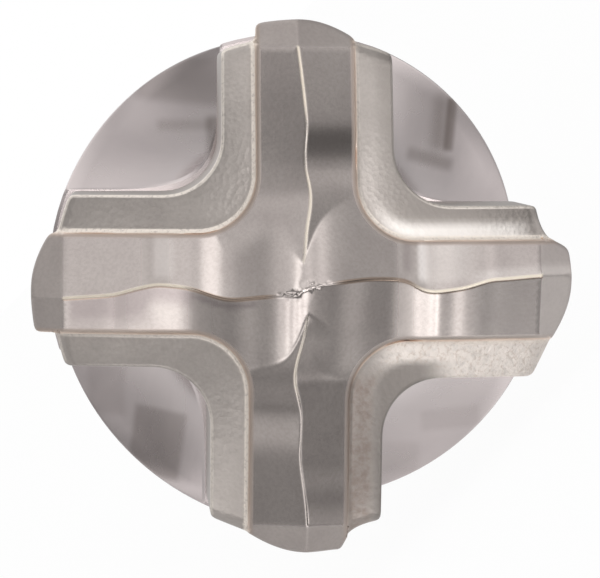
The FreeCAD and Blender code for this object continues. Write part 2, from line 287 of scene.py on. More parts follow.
# Closer points where the flanks of two edges meet
meeting = offset_rows(3.6, 0.4 * GRID)
main_height, side_height = (np.minimum(*pair) for pair in roofs(*meeting.T))
meeting = meeting[(np.abs(main_height - side_height) < 0.09) & (from_side(meeting) < -2 * CROWN_ROUND)]
meeting = clear_of(meeting, edge_rows, 0.03)
scatter = offset_rows(8.2, GRID)
to_side, to_rim = from_side(scatter), from_rim(scatter)
near_main = np.abs(scatter[:, 1] - np.interp(scatter[:, 0], places, main_line)) < 2.3 * HONE
near_side = np.abs(scatter[:, 0] - np.interp(scatter[:, 1], places, side_line)) < 2.3 * HONE
near_facet = np.abs(np.abs(scatter).max(axis=1) - FACET_START) < 0.08
near_edge = (to_side < 0) & (near_main | near_side | near_facet)
scatter = scatter[(to_rim < -2.2 * RIM_ROUND) & (np.abs(to_side) > 2.2 * CROWN_ROUND) & ~near_edge]
scatter = clear_of(scatter, meeting, 0.06)
side_rows = np.vstack(side_rows)
side_rows = side_rows[from_rim(side_rows) < -1.8 * RIM_ROUND]
loose = np.vstack((*rim_rows, side_rows, edge_rows, meeting, scatter))
sheet_points = [Vector(point) for point in np.vstack((rim, loose))]
corners, _, faces, _, _, _ = delaunay_2d_cdt(sheet_points, [], [list(range(len(rim)))], 1, 1e-5)
top = np.array([tuple(corner) for corner in corners])


def quarter_round(depth, radius):
    """How far a rounded edge has dropped, depth being how near its outer end is, from 0 to radius."""
    depth = np.clip(depth, 0, radius)
    return radius - np.sqrt(radius ** 2 - depth ** 2)


p, q = top.T
to_side, side_faces = measured(top, all_sides, all_side_out)
to_rim, rim_faces = measured(top, rim, rim_out)
crown_top = roof(p, q) - quarter_round(to_side + CROWN_ROUND, CROWN_ROUND)
foot = shoulders(p, q) - soft_min(to_side - CROWN_WALL - CROWN_FOOT, 0, 0.06)
on_crown = to_side < CROWN_WALL / 2
height = np.where(on_crown, np.maximum(crown_top, shoulders(p, q)), foot)
height -= quarter_round(to_rim + RIM_ROUND, RIM_ROUND)

# Chips along the blunted middle of the long edge, which takes the first blow
rng = np.random.default_rng(7)
chips = [(rng.uniform(-0.75, 0.8), rng.uniform(-0.03, 0.09), rng.uniform(0.05, 0.11)) for _ in range(22)]
ridge = main_edge(p)
for centre, beside, radius in chips:
    away = np.hypot(p - centre, (q - ridge - beside) * 1.3) / radius
    height -= 0.022 * np.clip(1 - away ** 2, 0, 1)

shape = [(*point, REACH + z) for point, z in zip(top, height)]
tip_faces = [list(face) for face in faces]
open_edges = {}
for face in tip_faces:
    for a, b in zip(face, face[1:] + face[:1]):
        open_edges[(a, b)] = open_edges.get((a, b), 0) + 1
follow = {a: b for a, b in open_edges if (b, a) not in open_edges}
loop = [next(iter(follow))]
while follow[loop[-1]] != loop[0]:
    loop.append(follow[loop[-1]])
ring = np.array([shape[i] for i in loop])
radius = np.hypot(ring[:, 0], ring[:, 1])
pulled = np.minimum(1, SHOULDER_RADIUS / radius)
heel_top = np.minimum(ring[:, 2] - 0.05, REACH - HEEL_DEPTH + HEEL_TAPER)
# Walls from the rim down to the seat: straight to the heel, and pulled in below it
wall_rows = [np.column_stack((ring[:, 0], ring[:, 1], heel_top))]
for depth in (HEEL_DEPTH, HEAD_HEIGHT - 0.1, HEAD_HEIGHT):
    level = np.full(len(ring), REACH - depth)
    wall_rows.append(np.column_stack((ring[:, 0] * pulled, ring[:, 1] * pulled, level)))
upper_row = loop
for row in wall_rows:
    lower_row = list(range(len(shape), len(shape) + len(row)))
    shape.extend(map(tuple, row))
    for k in range(len(row)):
        after = (k + 1) % len(row)
        tip_faces.append([upper_row[after], upper_row[k], lower_row[k], lower_row[after]])
    upper_row = lower_row
tip_faces.append(upper_row[::-1])

tip_mesh = bpy.data.meshes.new("tip")
tip_mesh.from_pydata([tuple(v) for v in laid_down(shape)], [], tip_faces)


def smooth_step(value, start, end):
    share = np.clip((value - start) / (end - start), 0, 1)
    return share * share * (3 - 2 * share)


def band(value, start, full, fading, end):
    """Rises from 0 to 1 between start and full, and falls back to 0 between fading and end."""
    return smooth_step(value, start, full) * (1 - smooth_step(value, fading, end))


def along(value, *stations):
    """Runs straight from one (place, level) to the next."""
    return np.interp(value, *zip(*stations))


# The skin's state, with painted light and shade on it, as masks at each point of the top. Places are in
# millimetres:
# p to the photo's right, q up in it, above and below from the long edge, and to_side outwards from the
# crown's side.
above, below = q - ridge, ridge - q
main_roof, side_roof = (np.minimum(*pair) for pair in roofs(p, q))
on_main = (main_roof > side_roof) & (to_side < 0)
on_side = (main_roof <= side_roof) & (to_side < 0)
outer_part = smooth_step(np.abs(p), 3.0, 3.7)

# Cutting edges: a painted highlight on the honed line of the long edge's outer parts, with painted shade in a
# line below it and over its middle, and a painted highlight of varying strength on the side edges
on_edge = on_main * (np.abs(p) < FACET_START)
main_strip = (1 - smooth_step(np.abs(above), HONE, 1.5 * HONE)) * on_edge
ridge_highlight = (1 - smooth_step(np.abs(above - 0.3 * HONE), 0.55 * HONE, 1.05 * HONE)) * on_edge
shade_under_edge = (1 - smooth_step(np.abs(below - HONE), 0.3 * HONE, 0.75 * HONE)) * on_edge
side_strip = (1 - smooth_step(np.abs(p - side_edge(q)), 0.6 * HONE, 1.2 * HONE)) * on_side
side_strip *= np.abs(q) < FACET_START
# How strong the painted highlight on the side edges is along them
side_highlight_share = along(q, (-3.4, 0.06), (-2.9, 0.6), (-1.9, 0.7), (-1.2, 0.3), (1.0, 0.5), (1.5, 0.8), (3.2, 0.8),
                  (3.7, 0.2), (4.8, 0.25), (5.4, 0.9))
end_facets = (to_side < 0) * smooth_step(np.abs(top).max(axis=1), FACET_START, FACET_START + 0.05)

# Long edge's flanks: painted highlights, painted shade and satin stretches
flank_highlight = smooth_step(above, 0.1, 0.4) * along(
    p, (-4.45, 0), (-4.3, 0.25), (-3.95, 0.2), (-3.7, 0), (2.7, 0), (2.82, 0.15), (2.94, 0), (3.32, 0.05),
    (3.44, 1), (3.5, 1), (3.6, 0.5), (3.72, 0.22), (3.9, 0.17), (4.6, 0.2), (4.95, 0.08), (5.4, 0))
flank_highlight += 0.22 * smooth_step(p, 4.6, 5.4) * band(above, 0.02, 0.06, 0.2, 0.45)
flank_highlight += 0.13 * (above < 0) * smooth_step(p, 4.8, 5.3) + 0.15 * (p > FACET_START)
shade_above = 0.3 * smooth_step(p, 4.9, 5.7) + along(
    p, (-4.6, 0), (-4.45, 0.1), (-4.3, 0.1), (-4.2, 0), (2.84, 0), (2.97, 0.6), (3.08, 0.7), (3.25, 0))
shade_above *= smooth_step(above, 0.15, 0.4)
shade_below = np.maximum.reduce([
    band(below, 0.06, 0.12, 0.24, 0.34) * smooth_step(-p, 1.2, 1.6),
    band(below, 0.03, 0.1, 0.8, 1.2) * (1 - 0.6 * smooth_step(below, 0.45, 0.8)) * smooth_step(-p, 4.2, 4.8),
    0.9 * band(below, 0.03, 0.1, 0.3, 0.75) * band(-p, 3.0, 3.4, 4.6, 5.0),
])
shade_below *= (1 + 0.6 * band(-p, 4.4, 4.8, 5.4, 5.8)) * (1 - smooth_step(-p, 6.7, 7.0))
satin_above = along(p, (-4.9, 0), (-4.5, 0.7), (-4.1, 0.7), (-3.8, 0), (2.6, 0), (2.9, 0.6), (3.6, 0.6),
                    (4.0, 0))
satin_below = along(p, (-5.8, 0), (-5.5, 0.35), (-5.2, 0.35), (-4.9, 0), (-3.5, 0), (-3.2, 0.7), (-2.9, 0.7),
                    (-2.5, 0), (2.6, 0), (2.9, 0.5), (3.1, 0.5), (3.4, 0))
satin = on_main * np.where(above > 0, satin_above, satin_below)

# Shoulders: painted highlights on their foot and rim, mostly where these face the upper left. On the right
# ones, a pressed, crinkled skin lit by a painted highlight below, a painted sheen above, painted shade, and a
# mottled skin darkened as painted shade in the crown's cast shadow
foot_strip = band(to_side, -0.01, 0.03, 0.11, 0.16) * (1 - 0.85 * np.clip(side_faces @ (0.71, -0.71), 0, 1))
rim_strip = smooth_step(to_rim, -0.10, -0.06) * (to_side > 0) * np.clip(rim_faces @ (-0.6, 0.8) + 0.2, 0, 1)
hollow_side = smooth_step(to_side, 0.5, 0.8) * (1 - smooth_step(p, 3.4, 4.8))
cast_shadow_side = smooth_step(p, 1.2, 1.4) * smooth_step(-q, 2.2, 3.0)
lower_right = 1 - 0.6 * smooth_step(p, 1.0, 1.6) * (q < 0)
shade = np.maximum.reduce([
    (q > 0) * smooth_step(p, 1.8, 3.0) * smooth_step(to_side, 0.45, 0.75),
    (q < 0) * band(p, 1.9, 2.4, 3.8, 4.8) * smooth_step(to_side, 0.25, 0.6),
    0.7 * (q < 0) * smooth_step(p, 3.6, 4.6) * smooth_step(to_side, 0.85, 1.0),
    0.6 * cast_shadow_side * smooth_step(to_side, 0.5, 0.75) * (1 - smooth_step(-q, 4.2, 5.2)),
])

for name, values in (
    ("ground", np.clip(-to_side / 0.05, 0, 1)),
    # Painted highlights on the cutting edges, and painted shade along and below the long one
    ("honed_and_highlight", ridge_highlight * outer_part + side_strip * side_highlight_share),
    ("long_edge_shade", main_strip * (1 - outer_part) * smooth_step(np.abs(p), 0.7, 1.2) + shade_under_edge * outer_part),
    # Painted shade on the crown's rounded edge, and a painted highlight on its wall
    ("crown_edge_shade", band(to_side, -0.16, -0.07, -0.03, 0.01) * lower_right),
    ("wall_highlight", band(to_side, -0.05, 0.0, 0.03, 0.07) * (1 - 0.8 * cast_shadow_side)),
    # A mottled skin, darkened as painted shade in the crown's cast shadow
    ("mottled_and_shade", cast_shadow_side * band(to_side, -0.08, 0.04, 0.55, 0.8)),
    ("blunt", np.maximum(satin + band(to_side, -0.16, -0.07, 0.14, 0.22), end_facets)),
    # Painted highlights on the shoulders' foot and rim, on the pressed skin at lower right and in a band at
    # upper right
    ("rim_and_foot_highlight", np.maximum(foot_strip * (1 - 0.9 * cast_shadow_side), 0.8 * rim_strip)),
    ("pressed_and_highlight", smooth_step(p, 1.8, 3.0) * (to_side > 0) * (q < 0) * (1 - hollow_side)),
    ("shoulder_highlight", (q > 0) * band(p, 1.9, 3.0, 6.2, 7.0) * band(to_side, 0.0, 0.15, 0.32, 0.6)),
    ("shade", shade),
    # Painted highlights and painted shade on the long edge's flanks
    ("flank_highlight", np.clip(flank_highlight, 0, 1) * on_main),
    ("land", np.clip(shade_below + shade_above, 0, 1) * on_main),
):
    padded = np.zeros(len(shape))
    padded[:len(top)] = values
    layer = tip_mesh.attributes.new(name, "FLOAT", "POINT")
    layer.data.foreach_set("value", padded)
tip = bpy.data.objects.new("tip", tip_mesh)
bpy.context.collection.objects.link(tip)


def only(piece):
    bpy.ops.object.select_all(action="DESELECT")
    piece.select_set(True)
    bpy.context.view_layer.objects.active = piece


def faced_outward(piece, merge=None):
    only(piece)
    bpy.ops.object.mode_set(mode="EDIT")
    bpy.ops.mesh.select_all(action="SELECT")
    if merge:
        bpy.ops.mesh.remove_doubles(threshold=merge)
    bpy.ops.mesh.normals_make_consistent(inside=False)
    bpy.ops.object.mode_set(mode="OBJECT")


faced_outward(tip)
bpy.ops.object.shade_smooth_by_angle(angle=math.radians(38))


# Sintered tip, finish. Dull grey hard metal: the crown's flanks are finely ground and reflect softly, the
# shoulders keep the grainy skin of the furnace.
def material(name, metallic):
    made = bpy.data.materials.new(name)
    made.use_nodes = True
    nodes, links = made.node_tree.nodes, made.node_tree.links
    shader = nodes["Principled BSDF"]
    shader.inputs["Metallic"].default_value = metallic
    return made, nodes, links, shader


def ramp(nodes, links, source, stops):
    """A smooth change between two stops, each a position with a colour or a grey level."""
    made = nodes.new("ShaderNodeValToRGB")
    links.new(source, made.inputs["Fac"])
    for element, (position, colour) in zip(made.color_ramp.elements, stops):
        element.position = position
        element.color = (*colour, 1) if isinstance(colour, tuple) else (colour, colour, colour, 1)
    return made.outputs["Color"]


def texture(nodes, links, kind, scale, **settings):
    made = nodes.new(kind)
    made.inputs["Scale"].default_value = scale
    for name, value in settings.items():
        made.inputs[name.title()].default_value = value
    links.new(nodes.new("ShaderNodeTexCoord").outputs["Object"], made.inputs["Vector"])
    return made


def noise(nodes, links, scale, detail, roughness):
    return texture(nodes, links, "ShaderNodeTexNoise", scale, detail=detail, roughness=roughness).outputs


def bump(nodes, links, height, strength, distance, normal=None):
    made = nodes.new("ShaderNodeBump")
    made.inputs["Strength"].default_value = strength
    made.inputs["Distance"].default_value = distance
    links.new(height, made.inputs["Height"])
    if normal is not None:
        links.new(normal, made.inputs["Normal"])
    return made.outputs["Normal"]


def fed(links, socket, value):
    """Links a socket's source to it, or sets a plain value."""
    if hasattr(value, "is_output"):
        links.new(value, socket)
    else:
        socket.default_value = value


def mixed(nodes, links, factor, first, second, kind="RGBA"):
    made = nodes.new("ShaderNodeMix")
    made.data_type = kind
    one, other, result = {"RGBA": (6, 7, 2), "FLOAT": (2, 3, 0), "VECTOR": (4, 5, 1)}[kind]
    links.new(factor, made.inputs[0])
    fed(links, made.inputs[one], first)
    fed(links, made.inputs[other], second)
    return made.outputs[result]


def attribute(nodes, name):
    made = nodes.new("ShaderNodeAttribute")
    made.attribute_name = name
    return made.outputs["Fac"]


def computed(nodes, links, operation, *values, kind="Math", result="Value"):
    made = nodes.new("ShaderNode" + kind)
    made.operation = operation
    for socket, value in zip(made.inputs, values):
        fed(links, socket, value)
    return made.outputs[result]


def vector(nodes, links, operation, *values):
    return computed(nodes, links, operation, *values, kind="VectorMath", result="Vector")


def scaled(nodes, links, value, factor):
    return computed(nodes, links, "MULTIPLY", value, factor)


def soft_step(nodes, links, value, start, end, first=0, last=1):
    made = nodes.new("ShaderNodeMapRange")
    made.interpolation_type = "SMOOTHSTEP"
    names = ("Value", "From Min", "From Max", "To Min", "To Max")
    for name, given in zip(names, (value, start, end, first, last)):
        fed(links, made.inputs[name], given)
    return made.outputs["Result"]


hard_metal, nodes, links, shader = material("sintered_hard_metal", 1.0)
ground = attribute(nodes, "ground")
grain = noise(nodes, links, 9000, detail=4.0, roughness=0.65)
cloud = noise(nodes, links, 700, detail=3.0, roughness=0.55)
speckle = noise(nodes, links, 9500, detail=3.0, roughness=0.6)
skin = ramp(nodes, links, cloud["Fac"], [(0.3, (0.43, 0.39, 0.365)), (0.7, (0.51, 0.465, 0.435))])
flank = ramp(nodes, links, cloud["Fac"], [(0.3, (0.46, 0.41, 0.39)), (0.7, (0.51, 0.46, 0.435))])
colour = mixed(nodes, links, ground, skin, flank)
uneven = ramp(nodes, links, speckle["Fac"], [(0.33, 0.55), (0.5, 1.0)])
darker = ramp(nodes, links, speckle["Fac"], [(0.38, 0.13), (0.58, 0.0)])
colour = mixed(nodes, links, darker, colour, (0.25, 0.21, 0.19, 1))
crinkle = noise(nodes, links, 3300, detail=7.0, roughness=0.7)
struck = ramp(nodes, links, crinkle["Fac"], [(0.36, 0.7), (0.5, 1.0)])
cells = nodes.new("ShaderNodeTexVoronoi")
cells.feature = "DISTANCE_TO_EDGE"
cells.inputs["Scale"].default_value = 3400
place = nodes.new("ShaderNodeTexCoord").outputs["Object"]
CRINKLE_SHIFT = (0.00035,) * 3
moved = vector(nodes, links, "MULTIPLY_ADD", crinkle["Color"], CRINKLE_SHIFT, place)
links.new(moved, cells.inputs["Vector"])
crack = ramp(nodes, links, cells.outputs["Distance"], [(0.0, 0.5), (0.13, 0.0)])
crack = scaled(nodes, links, crack, ramp(nodes, links, speckle["Fac"], [(0.42, 1.0), (0.54, 0.0)]))
blotch = ramp(nodes, links, crinkle["Fac"], [(0.38, (0.34, 0.275, 0.24)), (0.6, (0.43, 0.375, 0.345))])
# Each tint over the ones before it, most of them painted highlights or painted shade: the mask, its strength
# and the colour
for mask, strength, tint in (
    ("shade", 0.9, (0.30, 0.27, 0.25, 1)),
    # Pressed, crinkled skin lightened by a painted highlight, with darker cracks in it
    ("pressed_and_highlight", struck, (0.93, 0.85, 0.79, 1)),
    ("pressed_and_highlight", crack, (0.56, 0.44, 0.36, 1)),
    # A painted sheen, then a mottled skin darkened as painted shade
    ("shoulder_highlight", 0.85, (0.90, 0.85, 0.81, 1)),
    ("mottled_and_shade", 0.85, blotch),
    # Painted highlights and painted shade on the flanks, the crown's edge and wall, the cutting edges, and
    # the foot and rim
    ("flank_highlight", 1.0, (0.93, 0.87, 0.84, 1)),
    ("land", 0.6, (0.28, 0.235, 0.235, 1)),
    ("crown_edge_shade", 0.65, (0.52, 0.42, 0.36, 1)),
    ("wall_highlight", 0.8, (0.88, 0.71, 0.60, 1)),
    ("long_edge_shade", 0.7, (0.30, 0.21, 0.15, 1)),
    ("rim_and_foot_highlight", uneven, (0.98, 0.90, 0.82, 1)),
    ("honed_and_highlight", 0.8, (0.96, 0.86, 0.72, 1)),
):
    colour = mixed(nodes, links, scaled(nodes, links, attribute(nodes, mask), strength), colour, tint)
links.new(colour, shader.inputs["Base Color"])
sheen = mixed(nodes, links, ground, 0.42, 0.17, "FLOAT")
for mask in ("blunt", "honed_and_highlight"):
    sheen = mixed(nodes, links, attribute(nodes, mask), sheen, 0.5, "FLOAT")
links.new(sheen, shader.inputs["Roughness"])
pits = texture(nodes, links, "ShaderNodeTexVoronoi", 6500).outputs["Distance"]
rough_skin = bump(nodes, links, pits, 0.35, 0.00002)
relief = bump(nodes, links, grain["Fac"], 0.22, 0.00002, rough_skin)
creases = scaled(nodes, links, attribute(nodes, "pressed_and_highlight"), crinkle["Fac"])
creased = bump(nodes, links, creases, 0.5, 0.00012, relief)
fine = bump(nodes, links, grain["Fac"], 0.06, 0.00001)
links.new(mixed(nodes, links, ground, creased, fine, "VECTOR"), shader.inputs["Normal"])
tip_mesh.materials.append(hard_metal)
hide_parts("carbide_head")
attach(tip, "root")


# Steel body, form. One turned and milled bar: four lands with smooth hollows between them wind up to the
# tip's seat, and run out to a cone, a neck and the grooved shank.
BODY_RADIUS, SHANK_RADIUS, FLUTE_LEAD = 7.6, 5.0, 60.0
FLUTE_END, RUNOUT, CORE_RADIUS, HOLLOW_PULL = 29.0, 13.0, 3.9, 0.9
INSERTION, NECK_LENGTH, CONE_RISE, END_CHAMFER = 40.0, 16.0, 1.4, 1.5
SLOT_WIDTH, SLOT_FLOOR, SLOT_LENGTH, SLOT_CUTTER = 3.2, 3.15, 20.0, 12.0
GROOVE_RADIUS, GROOVE_FLOOR, GROOVE_START, GROOVE_LENGTH = 2.7, 3.55, 12.0, 16.5
LAND_ROUND, SEAT_BEVEL = 0.07, 0.12
COLUMNS, ROW_STEP, CLEAR = 136, 0.45, 1.0


def bezier(poles, count):
    """Points on a curve that runs between the outer poles and is pulled by the inner two."""
    share = np.linspace(0, 1, count)[:, None]
    terms = zip((1, 3, 3, 1), range(4), poles)
    return sum(times * (1 - share) ** (3 - k) * share ** k * pole for times, k, pole in terms)


section = []
wide = BODY_RADIUS + CLEAR
land_start, land_end = (math.degrees(math.asin(half / BODY_RADIUS)) for half in (-TRAIL_HALF, LEAD_HALF))
land = arc((0, 0), BODY_RADIUS, land_start, land_end)
hollow = bezier(np.array([(wide, LEAD_HALF), (HOLLOW_PULL * TRAIL_HALF, LEAD_HALF),
                          (TRAIL_HALF, HOLLOW_PULL * LEAD_HALF), (TRAIL_HALF, wide)]), 80)
hollow = hollow[np.hypot(*hollow.T) < BODY_RADIUS]
for quarter in range(4):
    section.extend(quarter_turned(np.vstack((land, hollow)), quarter))
section = eased(even_steps(section, FINE), LAND_ROUND, FINE)
# Closer columns where the section turns sharply
turning = np.abs(np.cross(np.roll(section, -1, axis=0) - section, section - np.roll(section, 1, axis=0)))
weight = np.cumsum(0.12 + turning / turning.max())
picked = np.searchsorted(weight, np.linspace(0, weight[-1], COLUMNS, endpoint=False))
section = section[picked]
section_angle, section_radius = np.arctan2(section[:, 1], section[:, 0]), np.hypot(*section.T)

seat = REACH - HEAD_HEIGHT
flare = ((BODY_RADIUS - CORE_RADIUS) ** 2 + RUNOUT ** 2) / (2 * (BODY_RADIUS - CORE_RADIUS))
rings = []
bevel_start = seat - SEAT_BEVEL
for z in np.append(np.arange(FLUTE_END, bevel_start, ROW_STEP), bevel_start):
    angle = section_angle + 2 * math.pi * (z - seat) / FLUTE_LEAD
    from_end = np.clip(FLUTE_END + RUNOUT - z, 0, RUNOUT)
    core = CORE_RADIUS + flare - math.sqrt(flare ** 2 - from_end ** 2)
    r = np.minimum(-soft_min(-section_radius, np.full(COLUMNS, -core), 0.3), BODY_RADIUS)
    rings.append((angle, r, z))
rings.append((angle, r - 0.1, seat))
cone_top = NECK_LENGTH + CONE_RISE * (BODY_RADIUS - SHANK_RADIUS)
base_angle = rings[0][0]
# Turned profile from the flutes' end to the rear: the cone and the chamfer have eased corners
turned = [(FLUTE_END - 0.5, BODY_RADIUS), (cone_top + 0.5, BODY_RADIUS),
          (cone_top + 0.12, BODY_RADIUS - 0.03), (cone_top - 0.1, BODY_RADIUS - 0.1),
          (NECK_LENGTH + 0.5, SHANK_RADIUS + 0.36), (NECK_LENGTH + 0.15, SHANK_RADIUS + 0.14),
          (NECK_LENGTH - 0.2, SHANK_RADIUS + 0.03), (NECK_LENGTH - 0.6, SHANK_RADIUS)]
turned += [(z, SHANK_RADIUS) for z in np.arange(NECK_LENGTH - 1.5, END_CHAMFER + 0.3 - INSERTION, -1.1)]
turned += [(END_CHAMFER + 0.12 - INSERTION, SHANK_RADIUS),
           (END_CHAMFER - 0.1 - INSERTION, SHANK_RADIUS - 0.1),
           (0.1 - INSERTION, SHANK_RADIUS - END_CHAMFER + 0.1),
           (-INSERTION, SHANK_RADIUS - END_CHAMFER - 0.1)]
rings = [(base_angle, np.full(COLUMNS, r), z) for z, r in reversed(turned)] + rings

points, bar_faces = [], []
for angle, r, z in rings:
    points.extend(np.column_stack((r * np.cos(angle), r * np.sin(angle), np.full(COLUMNS, z))))
for row in range(len(rings) - 1):
    for k in range(COLUMNS):
        after = (k + 1) % COLUMNS
        a, b = row * COLUMNS, (row + 1) * COLUMNS
        bar_faces.append([a + k, a + after, b + after, b + k])
bar_faces.append(list(range(COLUMNS))[::-1])
bar_faces.append([(len(rings) - 1) * COLUMNS + k for k in range(COLUMNS)])
bar_mesh = bpy.data.meshes.new("steel_bar")
bar_mesh.from_pydata([tuple(v) for v in laid_down(points)], [], bar_faces)
bar = bpy.data.objects.new("steel_bar", bar_mesh)
bpy.context.collection.objects.link(bar)

# Cutters for the two open drive slots and the two closed locking grooves
across_grooves = Vector((0, 1, 1)).normalized()


def cut_away(cutter):
    only(bar)
    carve = bar.modifiers.new("cut", "BOOLEAN")
    carve.operation = "DIFFERENCE"
    carve.solver = "EXACT"
    carve.object = cutter
    bpy.ops.object.modifier_apply(modifier="cut")
    bpy.data.objects.remove(cutter)


for side in (1, -1):
    # A capsule: a cylinder along the axis with a ball at each end
    length = GROOVE_LENGTH - 2 * GROOVE_RADIUS
    start = GROOVE_START + GROOVE_RADIUS - INSERTION
    centre = across_grooves * side * (GROOVE_FLOOR + GROOVE_RADIUS) * MM
    bpy.ops.object.select_all(action="DESELECT")
    bpy.ops.mesh.primitive_uv_sphere_add(segments=64, ring_count=32, radius=GROOVE_RADIUS * MM)
    capsule = bpy.context.object
    for vertex in capsule.data.vertices:
        if vertex.co.z > 1e-6:
            vertex.co.z += length * MM
    capsule.data.transform(Matrix.Rotation(math.pi / 2, 4, "Y"))
    capsule.data.transform(Matrix.Translation(centre + Vector((start * MM, 0, 0))))
    cut_away(capsule)
    # A block whose front end is rounded by the cutter's radius
    outside = SHANK_RADIUS + CLEAR
    climb = math.acos(1 - (outside - SLOT_FLOOR) / SLOT_CUTTER)
    level_end = SLOT_LENGTH - INSERTION
    profile = [(SLOT_FLOOR, -INSERTION - CLEAR)]
    profile += [(SLOT_FLOOR + SLOT_CUTTER * (1 - math.cos(a)), level_end + SLOT_CUTTER * math.sin(a))
                for a in np.linspace(0, climb, 16)]
    profile.append((outside, -INSERTION - CLEAR))
    slot_mesh = bpy.data.meshes.new("slot")
    corners = [(side * r, half * SLOT_WIDTH / 2, z) for half in (-1, 1) for r, z in profile]
    count = len(profile)
    slot_mesh.from_pydata([tuple(v) for v in laid_down(corners)], [],
                          [list(range(count)), list(range(count, 2 * count))[::-1]]
                          + [[k, (k + 1) % count, count + (k + 1) % count, count + k] for k in range(count)])
    slot = bpy.data.objects.new("slot", slot_mesh)
    bpy.context.collection.objects.link(slot)
    faced_outward(slot)
    cut_away(slot)
faced_outward(bar, merge=1e-7)
bpy.ops.object.shade_smooth_by_angle(angle=math.radians(30))


# Steel body, finish. Bright tool steel, blasted and then lightly polished in the hollows, with patches of
# painted dark reflection and painted shade in the flutes behind the tip.
steel, nodes, links, shader = material("tool_steel", 1.0)
cloud = noise(nodes, links, 260, detail=4.0, roughness=0.6)
clean = ramp(nodes, links, cloud["Fac"], [(0.3, (0.60, 0.535, 0.53)), (0.7, (0.67, 0.60, 0.59))])
links.new(ramp(nodes, links, cloud["Fac"], [(0.3, 0.22), (0.75, 0.32)]), shader.inputs["Roughness"])

# Each patch of painted dark reflection and shade: centre and half size across the bit in millimetres, turn in
# degrees, strength, and half width of its soft border
FLUTE_SHADE_PATCHES = [
    (-3.45, 6.22, 1.40, 0.76, -5, 0.38, 0.20), (-3.35, 4.74, 0.85, 0.17, 0, 0.35, 0.16),
    (-2.42, 4.32, 0.20, 0.70, 0, 0.70, 0.16), (5.11, 4.75, 0.16, 0.84, -4, 0.62, 0.10),
    (4.82, 4.80, 0.34, 0.88, -4, 0.50, 0.26), (4.42, 3.66, 0.82, 0.20, -15, 0.62, 0.17),
    (4.20, 4.95, 0.65, 0.90, 0, 0.10, 0.20), (-5.82, -3.74, 0.60, 0.76, 0, 0.22, 0.15),
    (-4.23, -5.26, 0.80, 1.05, -8, 0.50, 0.13), (5.06, -4.53, 0.90, 0.35, 8, 0.18, 0.15),
    (3.60, -5.95, 0.57, 0.54, 0, 0.16, 0.20),
]
patch = bpy.data.node_groups.new("soft_patch", "ShaderNodeTree")
for name, kind, way in (("Place", "NodeSocketVector", "INPUT"), ("Centre", "NodeSocketVector", "INPUT"),
                        ("Turn", "NodeSocketFloat", "INPUT"), ("Half", "NodeSocketVector", "INPUT"),
                        ("Strength", "NodeSocketFloat", "INPUT"), ("Border", "NodeSocketFloat", "INPUT"),
                        ("Mask", "NodeSocketFloat", "OUTPUT")):
    patch.interface.new_socket(name=name, in_out=way, socket_type=kind)
inner, joined = patch.nodes, patch.links
entry, leave = inner.new("NodeGroupInput"), inner.new("NodeGroupOutput")
rotate = inner.new("ShaderNodeVectorRotate")
rotate.rotation_type, rotate.invert = "X_AXIS", True
joined.new(entry.outputs["Place"], rotate.inputs["Vector"])
joined.new(entry.outputs["Centre"], rotate.inputs["Center"])
joined.new(entry.outputs["Turn"], rotate.inputs["Angle"])
shifted = vector(inner, joined, "SUBTRACT", rotate.outputs[0], entry.outputs["Centre"])
beyond = vector(inner, joined, "SUBTRACT", vector(inner, joined, "ABSOLUTE", shifted), entry.outputs["Half"])
parts = inner.new("ShaderNodeSeparateXYZ")
joined.new(beyond, parts.inputs[0])
border, mask = entry.outputs["Border"], entry.outputs["Strength"]
inside = scaled(inner, joined, border, -1)
for axis in ("Y", "Z"):
    mask = scaled(inner, joined, mask, soft_step(inner, joined, parts.outputs[axis], inside, border, 1, 0))
joined.new(mask, leave.inputs["Mask"])

object_place = nodes.new("ShaderNodeTexCoord").outputs["Object"]
across_bit = nodes.new("ShaderNodeVectorRotate")
across_bit.rotation_type = "X_AXIS"
across_bit.inputs["Angle"].default_value = math.pi / 4
links.new(object_place, across_bit.inputs["Vector"])
millimetres = vector(nodes, links, "MULTIPLY", across_bit.outputs[0], (1 / MM,) * 3)
# Painted dark reflections and painted shade in the flutes, summed over the patches
flute_shade = 0.0
for centre_p, centre_q, half_p, half_q, turned_by, strength, border in FLUTE_SHADE_PATCHES:
    shade_patch = nodes.new("ShaderNodeGroup")
    shade_patch.node_tree = patch
    for name, value in (
        ("Place", millimetres), ("Centre", (0, centre_p, centre_q)), ("Half", (0, half_p, half_q)),
        ("Turn", math.radians(turned_by)), ("Strength", strength), ("Border", border),
    ):
        fed(links, shade_patch.inputs[name], value)
    flute_shade = computed(nodes, links, "ADD", flute_shade, shade_patch.outputs["Mask"])
along_bit = nodes.new("ShaderNodeSeparateXYZ")
links.new(millimetres, along_bit.inputs[0])
# The painted reflections and shade fade out from 97 to 88 mm along the bit
flute_shade = scaled(nodes, links, flute_shade, soft_step(nodes, links, along_bit.outputs["X"], 88, 97))
links.new(mixed(nodes, links, flute_shade, clean, (0.30, 0.25, 0.235, 1)), shader.inputs["Base Color"])
grain = noise(nodes, links, 5000, detail=3.0, roughness=0.6)
links.new(bump(nodes, links, grain["Fac"], 0.12, 0.00001), shader.inputs["Normal"])
bar_mesh.materials.clear()
bar_mesh.materials.append(steel)
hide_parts("drill_body")
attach(bar, "root")


